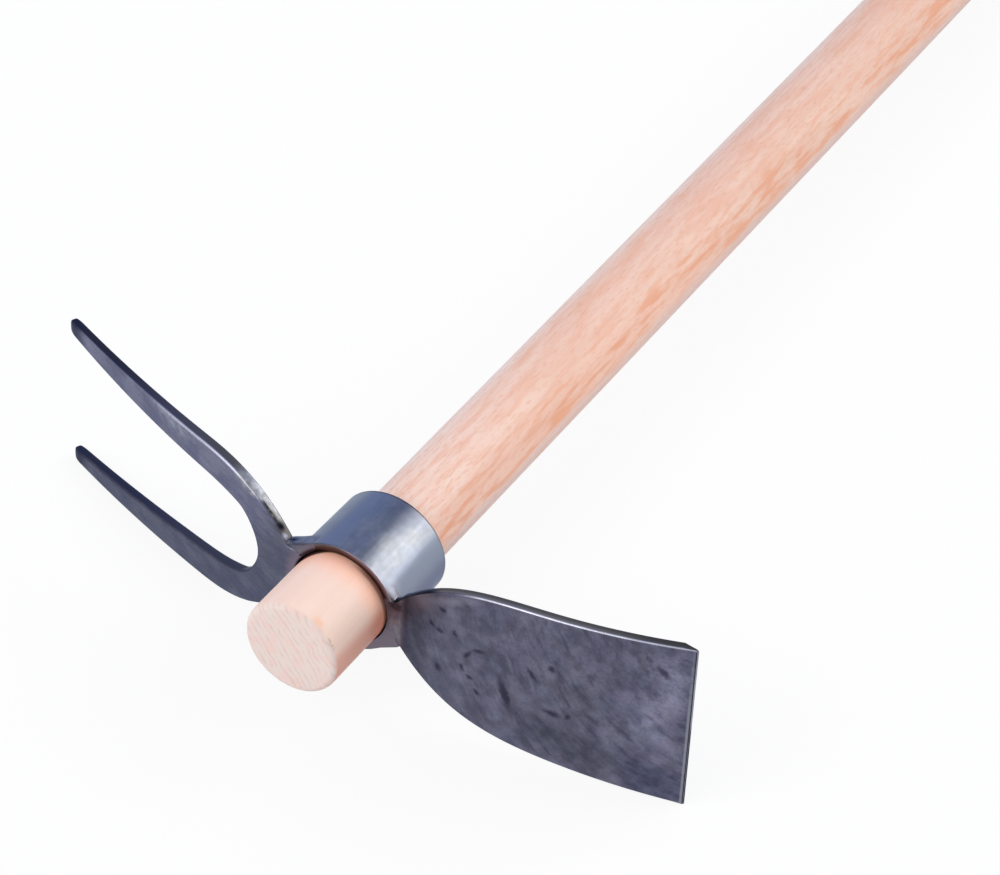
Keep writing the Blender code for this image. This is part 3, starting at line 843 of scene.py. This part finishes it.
hue = between(noise(place, 7.0, shift=0.15), 0.40, 0.60)
cloudy = between(clouds, 0.36, 0.64)
cool = mixed(cloudy, (0.103, 0.107, 0.158), (0.137, 0.141, 0.198))
violet = mixed(cloudy, (0.109, 0.106, 0.160), (0.143, 0.139, 0.198))
base = mixed(hue, cool, violet)
blotched = tinted(base, between(blotches, 0.34, 0.66, 0.82, 1.15))
stroke_strength = between(out, 0.045, 0.085, 0.25, 1.0)
stroke_shade = times(between(strokes, 0.50, 0.70, 0.0, 0.80), stroke_strength)
stroked = mixed(stroke_shade, blotched, (0.068, 0.067, 0.112))
lifted = mixed(between(strokes, 0.44, 0.28, 0.0, 0.45), stroked, (0.185, 0.186, 0.240))
fine = tinted(lifted, between(fine_strokes, 0.25, 0.75, 0.92, 1.08))
grained = tinted(fine, between(grain, 0.25, 0.75, 0.92, 1.08))
print("blade's skin drawn")

# %% [markdown]
# A few single dark marks are set one by one, each as a ragged ellipse that reaches through the
# plate. A mark is told by its place out along the blade and across it, half its length and half
# its width in millimetres, and its turn in degrees.

# %% Set the marks on the blade
FACE_HEIGHT = 32.0
MARK_LONGER, MARK_WIDER, MARK_STRENGTH = 1.12, 1.15, 0.92


def face_patch(place, centre, halves, turn=0.0, core=0.0, through=60.0):
    """A patch on the blade's face, placed and sized out along the blade and across it."""
    return patch(place, (centre[0], FACE_HEIGHT, centre[1]), (halves[0], through, halves[1]),
                 turn, core)


uneven = ragged(place, wander, 1.6)
marks = [
    (35.5, 7.5, 1.9, 1.1, 37.0), (38.5, 6.2, 1.9, 1.3, 17.0), (39.5, 15.5, 1.9, 1.1, 20.0),
    (44.5, 8.0, 1.9, 1.2, 53.0), (49.5, 1.5, 3.0, 1.2, -57.0), (53.5, 5.0, 3.4, 1.2, -18.0),
    (50.5, -7.8, 2.1, 1.2, 6.0), (47.5, -4.9, 2.2, 1.2, 58.0), (63.3, -7.5, 9.2, 2.1, 70.0),
    (64.0, -9.5, 4.8, 2.1, 70.0), (79.5, 9.7, 1.9, 1.7, 30.0), (80.5, -9.2, 4.6, 1.5, 5.0),
    (86.0, -8.4, 2.0, 1.3, -60.0), (38.5, -9.8, 2.2, 1.4, 66.0), (53.5, -12.7, 2.0, 1.2, 50.0),
    (73.0, 4.3, 4.6, 1.2, 48.0), (47.5, 22.6, 3.2, 1.7, 5.0), (115.5, 21.5, 4.6, 1.6, 52.0),
]
marked = grained
for centre_out, centre_across, half_length, half_width, turn in marks:
    spot = face_patch(uneven, (centre_out, centre_across),
                      (half_length * MARK_LONGER, half_width * MARK_WIDER), turn, 0.15, 30.0)
    marked = painted(marked, (0.038, 0.035, 0.062), spot, MARK_STRENGTH)
print("marks on the blade:", len(marks))

# %% [markdown]
# The whole face gets painted light and shade too: painted shade at the neck, in the middle and
# along its lower side, a painted reflection of shadow in the lower corner, and painted light in a
# band and a patch near the cutting edge. The neck is painted brownish as a reflection of the
# wood, with painted shade along its lower edge and a painted shadow beside the eye, and the
# crease has painted shade.

# %% Shade the blade from neck to edge
# Painted shade and light on the face: darker at the neck, in the middle and along the lower side, lighter
# near the cutting edge.
neck_shade = between(out, 0.0242, 0.042, 0.64, 1.0)
light_band = face_patch(place, (112.0, -3.0), (27.0, 10.0), 66.0)
corner_light = face_patch(place, (118.5, 16.0), (9.5, 21.0))
low_dark = face_patch(place, (84.0, -20.0), (27.0, 12.0), 16.0, 0.1)
# A painted reflection of shadow in the lower corner.
low_corner_shadow = face_patch(place, (115.0, -27.0), (17.0, 11.5), 12.0, 0.2)
lightened = times_plus(light_band, 0.66, times_plus(corner_light, 0.60, 1.0))
middle_dark = face_patch(place, (90.0, 1.0), (13.0, 13.0))
darkened = times_plus(low_dark, -0.30, times_plus(middle_dark, -0.22, 1.0))
tone = times(lightened, darkened)
toned = tinted(marked, times(tone, neck_shade))
cornered = tinted(toned, (0.66, 0.68, 0.78), low_corner_shadow)
shoulder_blush = face_patch(place, (31.5, 15.5), (9.5, 6.0), 38.0, through=30.0)
blushed = painted(cornered, (0.180, 0.170, 0.220), shoulder_blush, 0.85)
shoulder_light = face_patch(place, (43.0, 21.0), (17.0, 2.8), -27.0, through=30.0)
blushed = painted(blushed, (0.26, 0.255, 0.33), shoulder_light, 0.60)
print("blade shaded")

# %% Colour the neck and the crease
# The neck's brownish colour is a painted reflection of the wood; its lower edge gets painted shade and
# the spot beside the eye a painted shadow.
neck_colour = mixed(between(wander, 0.35, 0.65),
                    (0.152, 0.138, 0.182), (0.205, 0.182, 0.205))
neck_edge = between(along, -NECK_LENGTH, 0.0, 0.0078, 0.0117)
neck_under = between(maths("ADD", across, neck_edge), 0.0014, 0.0005)
neck_colour = painted(neck_colour, (0.045, 0.042, 0.062), neck_under, 0.85)
neck_shadow_spot = patch(uneven, (20.9, 30.2, 6.6), (4.0, 3.0, 2.9), 0.0, 0.3)
neck_colour = painted(neck_colour, (0.040, 0.026, 0.042), neck_shadow_spot, 0.80)
necked = mixed(between(along, 1.3, -0.9), blushed, neck_colour)
# Painted shade in the crease.
crease_shade = times(band(along, -1.6, -0.2, 0.6, 2.4),
               between(clouds, 0.30, 0.55, 0.35, 0.75))
creased = mixed(crease_shade, necked, (0.062, 0.048, 0.078))
print("neck coloured")

# %% [markdown]
# The edges come last. The start of the ground bevel is a light line, the cutting edge itself has
# painted shade, the sides are a brownish grey, and the rounded front edge is rubbed and painted
# bright as a highlight. The lower edge has painted shade, and the side has a black painted shadow
# where it meets the eye. The back keeps the plain skin.

# %% Colour the blade's edges
lower = between(across, 0.003, -0.003)
edge_light = band(along, 100.6, 101.1, 101.5, 101.8)
edge_light = times(edge_light, between(across, 0.030, 0.0, 0.25, 0.75))
edge_lit = mixed(edge_light, creased, (0.27, 0.28, 0.33))
# Painted shade: the cutting edge is dark.
edge_dark = mixed(between(along, 101.6, 101.9), edge_lit, (0.030, 0.031, 0.048))
side_grey = mixed(between(depth, 0.6, 2.4), (0.26, 0.222, 0.180), (0.135, 0.116, 0.094))
side_grey = mixed(between(out, 0.085, 0.118, 0.0, 0.85), side_grey, (0.072, 0.063, 0.053))
sided = mixed(between(depth, 0.52, 0.72), edge_dark, side_grey)
# The rounded front edge is rubbed and painted brighter as a highlight.
wear_and_highlight = times(band(depth, 0.01, 0.08, 0.50, 0.68), between(out, 0.044, 0.056),
               between(out, 0.095, 0.115, 1.0, 0.6), between(clouds, 0.30, 0.55, 0.7, 1.0))
worn_and_highlit = mixed(wear_and_highlight, sided, (0.56, 0.56, 0.64))
# Painted shade along the lower edge.
lower_edge_shade = times(between(depth, 0.02, 0.15), lower)
underside = mixed(lower_edge_shade, worn_and_highlit, (0.034, 0.032, 0.046))
# A painted shadow on the side where it meets the eye.
contact_shadow = patch(place, (25.6, 31.5, 12.4), (2.6, 2.4, 2.2), 0.0, 0.5)
shadowed = times(between(out, 0.0385, 0.0335), between(depth, 0.02, 0.30))
contact_shadow = maths("MAXIMUM", times(contact_shadow, between(depth, 0.02, 0.25)), shadowed)
shade_colour = mixed(between(depth, 1.4, 2.4),
                     (0.014, 0.010, 0.016), (0.120, 0.125, 0.155))
joined = mixed(contact_shadow, underside, shade_colour)
backed = mixed(between(depth, 3.0, 3.3), joined, grained)
steel_shader(output, backed, between(strokes, 0.3, 0.7, 0.40, 0.50),
             times_plus(strokes, 2.0, fine_strokes), 0.05)
blade.data.materials.append(blade_steel)
print("blade steel has", len(tree.nodes), "nodes")

# %% [markdown]
# The fork has the same skin with long scratches, and its upper tine is a little lighter. The
# sides of the tines get darker towards their tips, the tips are dark all round, and a line along
# the front edge is rubbed and painted bright as a highlight.

# %% Draw the fork's skin
fork_steel, tree, output = new_material("forged_fork_steel")
place = own_place()
along, depth = plate_note("along"), plate_note("depth")
across = separated(place)["Z"]
clouds = noise(place, (12.0, 12.0, 7.0), 4.0, turn=15.0)
scratches = noise(place, (11.0, 6.0, 0.9), 3.0, turn=12.0)
mottle = noise(place, 2.4, shift=0.3)
grain = noise(place, 0.8, shift=0.6)

base = mixed(between(clouds, 0.38, 0.64), (0.096, 0.099, 0.150), (0.136, 0.139, 0.194))
scratched = tinted(base, between(scratches, 0.25, 0.75, 0.90, 1.10))
grained = tinted(scratched, between(grain, 0.25, 0.75, 0.93, 1.07))
upper_tine = times(between(across, 0.004, 0.016), between(along, 2.0, 16.0))
raised_tone = tinted(grained, times_plus(upper_tine, 0.55, 0.96))
light_patch = patch(place, (-76.0, 46.0, 28.0), (17.0, 14.0, 5.5), 10.0, 0.0)
light_patch = times(light_patch, between(mottle, 0.38, 0.60, 0.15, 0.95))
light_face = mixed(light_patch, raised_tone, (0.31, 0.325, 0.40))

on_side = between(depth, 0.75, 1.15)
side_dark = between(along, 38.0, 95.0, 1.0, 0.36)
side_colour = mixed(between(along, 38.0, 70.0),
                    (0.116, 0.110, 0.106), (0.112, 0.104, 0.142))
sided = mixed(on_side, light_face, tinted(side_colour, side_dark))
# A line along the front edge, rubbed and painted brighter as a highlight.
upper_edge = times(between(across, 0.014, 0.022), between(along, 16.0, 22.0))
edge_wear_and_highlight = times(band(depth, 0.02, 0.15, 0.65, 0.95), between(along, 72.0, 48.0),
                  upper_edge, between(clouds, 0.30, 0.60, 0.45, 0.9))
lined = mixed(edge_wear_and_highlight, sided, (0.45, 0.45, 0.56))
tips = mixed(between(along, 106.0, 116.0, 0.0, 0.85), lined, (0.028, 0.030, 0.055))
print("fork's skin drawn")

# %% [markdown]
# The fork's outer corner near the root was ground bright to take the weld. The zone covers the
# corner, narrows and dulls towards the root along the back of the side, and ends in a small pit
# beside the weld, next to a lump with a painted highlight. The lower edge has painted shade, the
# web near the eye is painted brownish as a reflection of the wood, and the gap at the bore has a
# painted shadow. The fork's back keeps the plain skin.

# %% Colour the fork's root
ground_from = between(along, 7.0, 16.0, 2.3, 0.1)
ground_depth = between(maths("SUBTRACT", depth, ground_from), -0.15, 0.45)
ground = times(ground_depth, band(along, 4.5, 8.0, 20.0, 28.0),
               between(across, 0.010, 0.014), between(along, 6.0, 16.0, 0.60, 1.0))
bright_steel = mixed(between(mottle, 0.36, 0.64),
                     (0.27, 0.275, 0.295), (0.42, 0.425, 0.455))
ground_face = patch(ragged(place, mottle, 2.0), (-40.0, 36.0, 25.2), (8.0, 12.0, 2.0), 21.6, 0.2)
ground = maths("MAXIMUM", ground, times(ground_face, 0.8))
brightened = mixed(ground, tips, bright_steel)
inner_line = times(band(depth, 0.8, 1.2, 1.6, 2.1), band(along, 3.0, 5.0, 11.0, 15.0),
                   between(mottle, 0.65, 0.45))
grooved = mixed(inner_line, brightened, (0.030, 0.030, 0.036))
uneven = ragged(place, mottle, 1.6)
pit = patch(uneven, (-25.2, 33.0, 16.1), (3.0, 1.9, 1.7), 45.0, 0.15)
pitted = mixed(pit, grooved, (0.006, 0.006, 0.010))
# A painted highlight on the weld's lump beside the pit.
lump_highlight = patch(uneven, (-22.9, 31.9, 13.5), (1.9, 1.6, 1.4), 45.0, 0.1)
lump_highlight = times(lump_highlight, between(depth, 0.02, 0.4))
lumped = mixed(lump_highlight, pitted, (0.36, 0.37, 0.45))
# Painted shade along the lower edge.
lower_edge_shade = times(between(across, 0.010, -0.004), band(depth, 0.04, 0.25, 5.0, 6.0))
edged = painted(lumped, (0.045, 0.045, 0.075), lower_edge_shade, 0.55)
backed = mixed(between(depth, 3.9, 4.3), edged, grained)
from_axis = off_axis(place)
# The web near the eye is painted brownish as a reflection of the wood, with a painted shadow in the gap
# at the bore.
near_eye_reflection = mixed(between(from_axis, 0.0228, 0.0186, 0.0, 0.75), backed,
                 (0.225, 0.175, 0.225))
bore_gap_shadow = mixed(between(from_axis, 0.0188, 0.0180), near_eye_reflection, (0.030, 0.012, 0.014))
steel_shader(output, bore_gap_shadow, between(clouds, 0.3, 0.7, 0.38, 0.46),
             times_plus(clouds, 3.0, scratches), 0.04)
fork.data.materials.append(fork_steel)
print("fork steel has", len(tree.nodes), "nodes")

# %% [markdown]
# The eye's flat rim stands close to the wood, and its brown is a painted reflection of the wood,
# with painted shade towards the far side and a painted shadow next to the bore. Its round side is
# brushed. Painted reflection tones make it bluer towards the left and the right, and painted
# shade darkens its far right and a slant in its bright band and lines its top edge. A pale weld
# smear where the weld ran out is painted brighter as a highlight.

# %% Colour the eye
eye_steel, tree, output = new_material("turned_eye_steel")
place = own_place()
height = separated(place)["Y"]
from_axis = off_axis(place)
clouds = noise(place, (7.0, 10.0, 7.0), 4.0)
brushed = noise(place, (1.4, 13.0, 1.4), 3.0)
mottle = noise(place, 2.2, 3.0, shift=0.5)
base = mixed(between(clouds, 0.36, 0.64), (0.205, 0.218, 0.252), (0.252, 0.262, 0.280))
brushed_colour = tinted(base, between(brushed, 0.25, 0.75, 0.90, 1.08))
mottled = tinted(brushed_colour, between(mottle, 0.30, 0.70, 0.93, 1.06))
# Painted reflection tones: bluer towards the left and the right, with painted shade on the far right.
to_left, to_right = facing(place, 138.0), facing(place, -25.0)
left_reflection_tone = mixed(between(to_left, 0.62, 0.90), mottled, (0.255, 0.282, 0.345))
right_reflection_tone = mixed(between(to_right, 0.34, 0.56), left_reflection_tone, (0.258, 0.292, 0.365))
right_side_shade = mixed(between(to_right, 0.70, 0.98), right_reflection_tone, (0.170, 0.180, 0.258))
# Painted shade: a darker slant in the bright band.
slant_shade = times(between(facing(place, 70.0), 0.955, 0.995),
              between(height, 0.038, 0.056))
toned = painted(right_side_shade, (0.105, 0.115, 0.150), slant_shade, 0.45)
# A pale weld smear, painted brighter as a highlight.
smear_and_highlight = patch(ragged(place, mottle, 1.2), (18.1, 33.6, 10.0), (4.6, 4.6, 4.6), 0.0, 0.2)
smeared = painted(toned, (0.37, 0.38, 0.45), smear_and_highlight, 0.75)
# Painted shade along the eye's top edge, where it meets the wood.
top_edge_shade = times(between(height, 0.0615, 0.0620),
                 between(facing(place, 85.0), 0.40, 0.90, 0.35, 1.0))
topped = mixed(top_edge_shade, smeared, (0.060, 0.045, 0.050))
# The rim's brown is a painted reflection of the wood, with painted shade towards the far side and a
# painted shadow next to the bore.
far_side_shade = between(facing(place, 142.0), 0.30, 0.72)
rim_outer = mixed(far_side_shade, (0.290, 0.260, 0.315), (0.135, 0.120, 0.135))
rim_wood_reflection = mixed(between(from_axis, 0.0184, 0.0207), (0.095, 0.050, 0.042), rim_outer)
rimmed = mixed(between(height, 0.0307, 0.0302), topped, rim_wood_reflection)
steel_shader(output, rimmed, between(clouds, 0.3, 0.7, 0.28, 0.36),
             times_plus(clouds, 2.0, brushed), 0.03)
eye.data.materials.append(eye_steel)
print("eye steel has", len(tree.nodes), "nodes")

# %% [markdown]
# The welds were wire brushed. Both share one steel that is bluer on the fork's side, with painted
# shade in a groove and a painted highlight on a lump where the fork's bead ends, a pale weld smear
# painted brighter as a highlight beside the blade's, and a painted shadow where the blade's top
# edge meets the eye. In front, level with the rim, they go on the colours of the neck and of the
# web, which are painted brownish as a reflection of the wood, and the web ends in a painted
# shadow in the gap.

# %% Colour the welds
weld_steel, tree, output = new_material("brushed_weld_steel")
place = own_place()
split = separated(place)
grain = noise(place, 1.1, 3.0)
clouds = noise(place, 4.0, 3.0)
cloudy = between(clouds, 0.38, 0.62)
forkward = between(split["X"], -0.004, -0.010)
blade_base = mixed(cloudy, (0.16, 0.162, 0.185), (0.25, 0.25, 0.27))
fork_base = mixed(cloudy, (0.205, 0.225, 0.285), (0.265, 0.285, 0.345))
base = mixed(forkward, blade_base, fork_base)
uneven = ragged(place, grain, 1.4)
# Painted shade in the groove and a painted highlight on the lump where the fork's bead ends.
groove_shade = patch(uneven, (-20.2, 32.3, 13.8), (3.2, 1.8, 1.6), 10.0, 0.1)
grooved = mixed(groove_shade, base, (0.022, 0.023, 0.034))
bright = patch(uneven, (-21.6, 31.0, 12.3), (2.4, 1.6, 1.8), 40.0, 0.4)
# A pale weld smear, painted brighter as a highlight.
smear_and_highlight = patch(uneven, (17.5, 32.8, 11.2), (5.0, 3.4, 6.4), 0.0, 0.1)
brightened = mixed(maths("MAXIMUM", bright, smear_and_highlight), grooved, (0.36, 0.36, 0.43))
# A painted shadow where the blade's top edge meets the eye.
spot = patch(uneven, (24.4, 32.2, 12.2), (3.2, 2.6, 2.4), 0.0, 0.5)
spotted = mixed(spot, brightened, (0.012, 0.010, 0.014))
# In front, the neck's and the web's colours are painted reflections of the wood, and the web ends in a
# painted shadow in the gap at the bore.
in_front = between(split["Y"], 0.0312, 0.0301)
below = times(between(split["Z"], 0.0, -0.004), between(split["X"], 0.0, 0.004))
neck_side = mixed(times(in_front, below), spotted, (0.175, 0.150, 0.185))
from_axis = off_axis(place)
web_colour = mixed(between(from_axis, 0.0228, 0.0198),
                   (0.125, 0.125, 0.168), (0.190, 0.158, 0.200))
web_colour = mixed(between(from_axis, 0.0197, 0.0184), web_colour, (0.045, 0.020, 0.022))
web_side = mixed(times(in_front, forkward), neck_side, web_colour)
steel_shader(output, web_side, 0.42, times_plus(clouds, 2.0, grain), 0.12)
blade_bead.data.materials.append(weld_steel)
fork_bead.data.materials.append(weld_steel)
print("steels", [material.name for material in bpy.data.materials])
